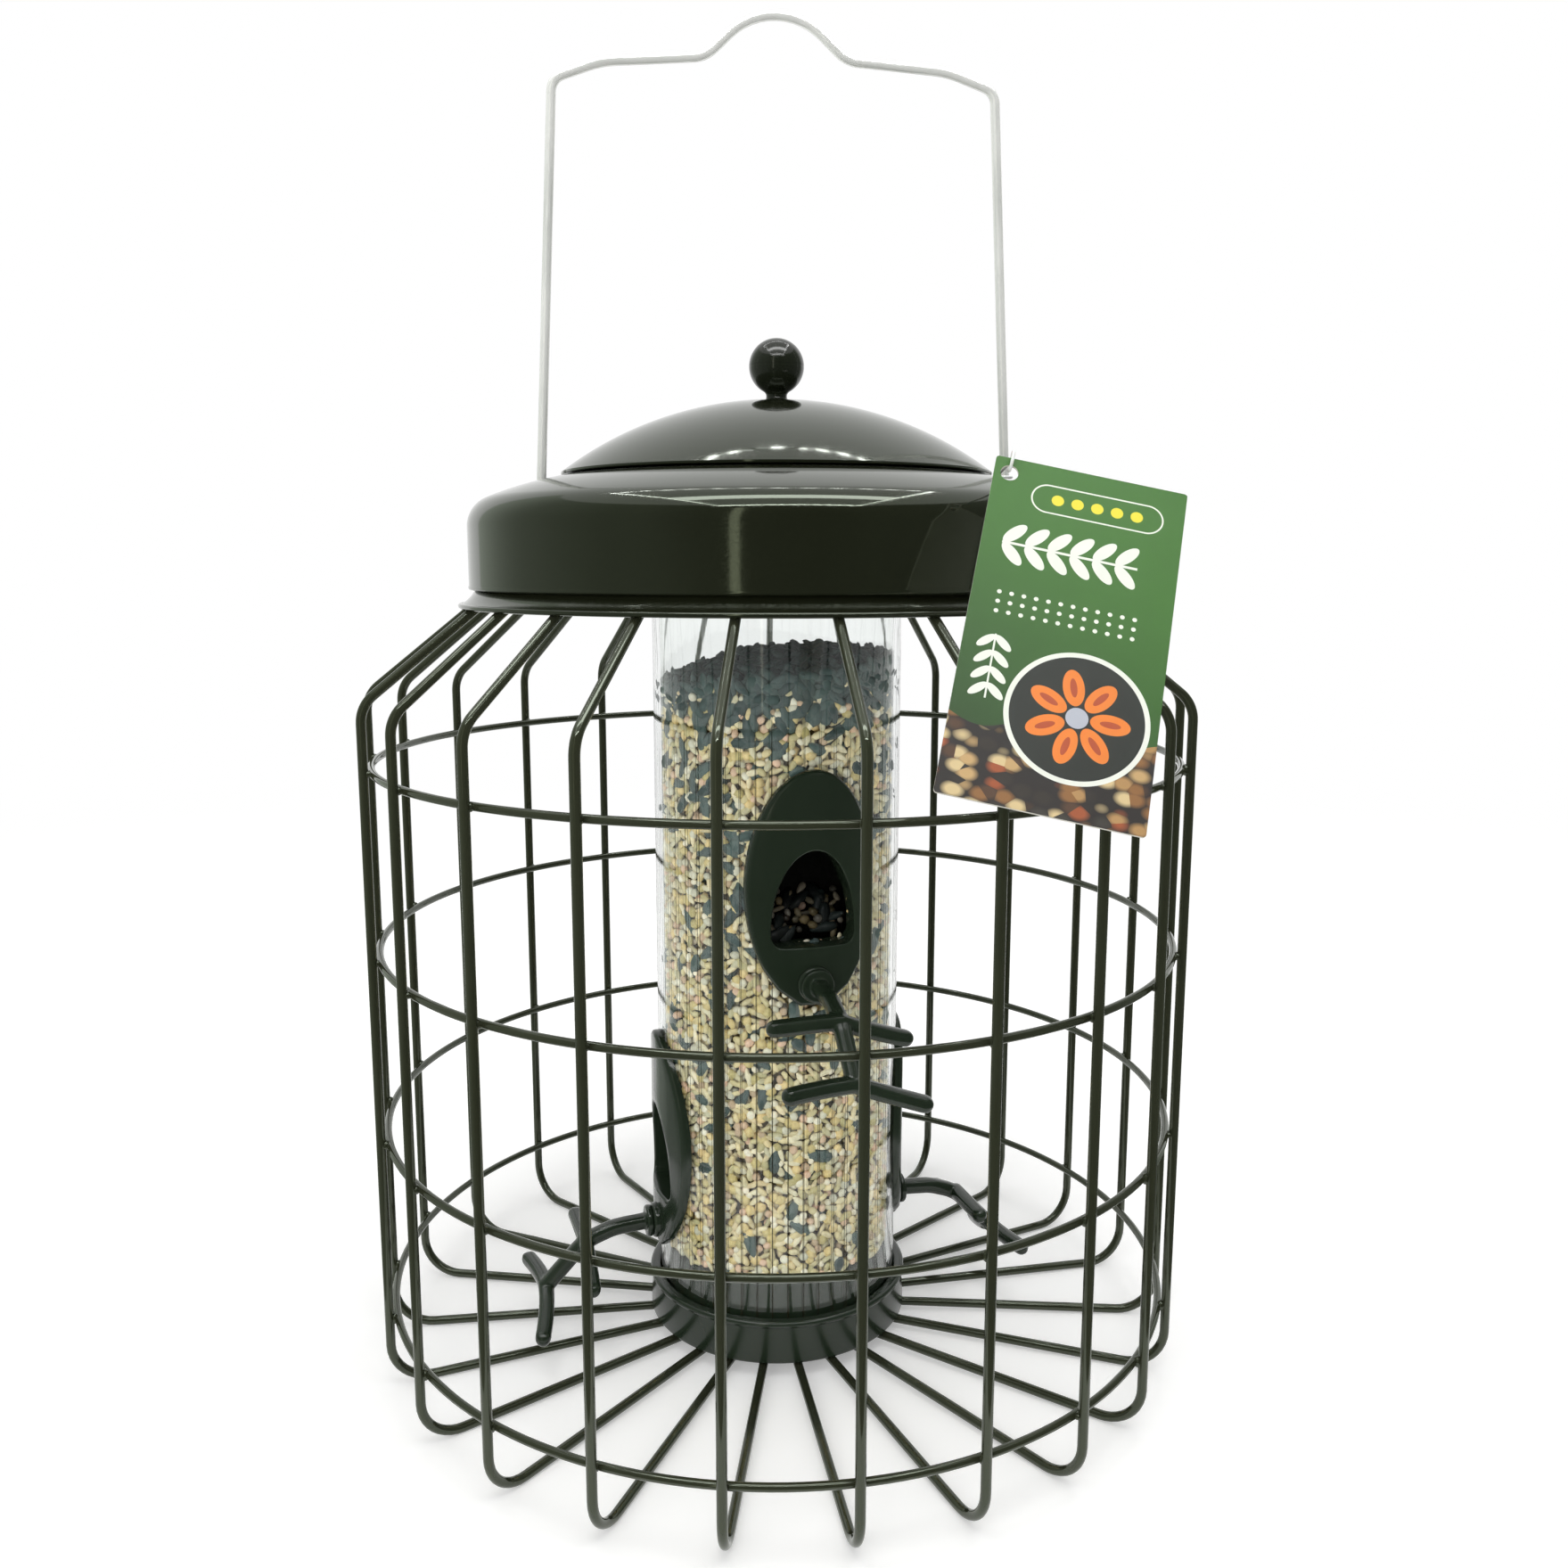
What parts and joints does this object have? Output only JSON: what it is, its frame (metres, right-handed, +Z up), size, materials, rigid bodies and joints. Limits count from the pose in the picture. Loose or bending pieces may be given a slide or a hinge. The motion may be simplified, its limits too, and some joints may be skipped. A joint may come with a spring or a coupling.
{
  "type": "squirrel proof bird feeder",
  "caption": "Hanging seed feeder: a clear tube with ports and perches inside a welded wire cage, under a lid that slides up its wire bail.",
  "frame": {"origin": "centre of the hub plate's underside, on the surface that the feeder stands on", "axes": "+Z up along the tube and cage axis, X along the bail, front towards -Y"},
  "size_m": [0.249, 0.2646, 0.3999],
  "materials": {
    "cage_enamel": "glossy dark olive green enamel",
    "lid_enamel": "glossy dark grey-green enamel",
    "knob_plastic": "glossy near-black green plastic",
    "dark_plastic": "semi-gloss dark green moulded plastic",
    "zinc_steel": "zinc plated",
    "bright_wire": "bright zinc plated wire",
    "clear_plastic": "clear, faint green at the edges",
    "seed": "mixed dry seed",
    "card": "printed satin card, plain green",
    "white_tie": "thin white tie"
  },
  "bodies": {
    "cage": {"cage_wire_01": "cage_enamel", "cage_wire_02": "cage_enamel", "cage_wire_03": "cage_enamel", "cage_wire_04": "cage_enamel", "cage_wire_05": "cage_enamel", "cage_wire_06": "cage_enamel", "cage_wire_07": "cage_enamel", "cage_wire_08": "cage_enamel", "cage_wire_09": "cage_enamel", "cage_wire_10": "cage_enamel", "cage_wire_11": "cage_enamel", "cage_wire_12": "cage_enamel", "cage_wire_13": "cage_enamel", "cage_wire_14": "cage_enamel", "cage_wire_15": "cage_enamel", "cage_wire_16": "cage_enamel", "cage_wire_17": "cage_enamel", "cage_wire_18": "cage_enamel", "cage_wire_19": "cage_enamel", "cage_wire_20": "cage_enamel", "cage_wire_21": "cage_enamel", "cage_wire_22": "cage_enamel", "cage_wire_23": "cage_enamel", "cage_ring_1": "cage_enamel", "cage_ring_2": "cage_enamel", "cage_ring_3": "cage_enamel", "cage_ring_4": "cage_enamel", "cage_collar": "cage_enamel", "collar_floor": "cage_enamel", "hub_plate": "cage_enamel", "base_cup": "dark_plastic", "base_bolt": "zinc_steel", "base_nut": "zinc_steel", "seed_cone": "dark_plastic", "seed_tube": "clear_plastic", "seed_lower": "seed", "seed_upper": "seed", "bail_handle": "bright_wire", "port_cover_upper_front": "dark_plastic", "port_cover_upper_rear": "dark_plastic", "port_cover_lower_left": "dark_plastic", "port_cover_lower_right": "dark_plastic", "port_hood_upper_front": "dark_plastic", "port_hood_upper_rear": "dark_plastic", "port_hood_lower_left": "dark_plastic", "port_hood_lower_right": "dark_plastic", "perch_upper_front": "dark_plastic", "perch_upper_rear": "dark_plastic", "perch_lower_left": "dark_plastic", "perch_lower_right": "dark_plastic"},
    "lid": {"lid_shell": "lid_enamel", "lid_dome": "lid_enamel", "lid_spacer": "zinc_steel", "lid_knob": "knob_plastic", "lid_washer": "zinc_steel", "knob_screw": "zinc_steel", "tag_tie": "white_tie"},
    "tag": {"swing_tag": "card"}
  },
  "joints": [
    {"name": "lid_slide", "type": "slide", "parent": "cage", "child": "lid", "axis": [0, 0, 1], "range_m": [0, 0.06]},
    {"name": "tag_swing", "type": "hinge", "parent": "lid", "child": "tag", "pos_m": [0.04974, -0.08698, 0.26837], "axis": [-0.9652, 0.1618, 0.2053], "range_deg": [0, 60]}
  ]
}
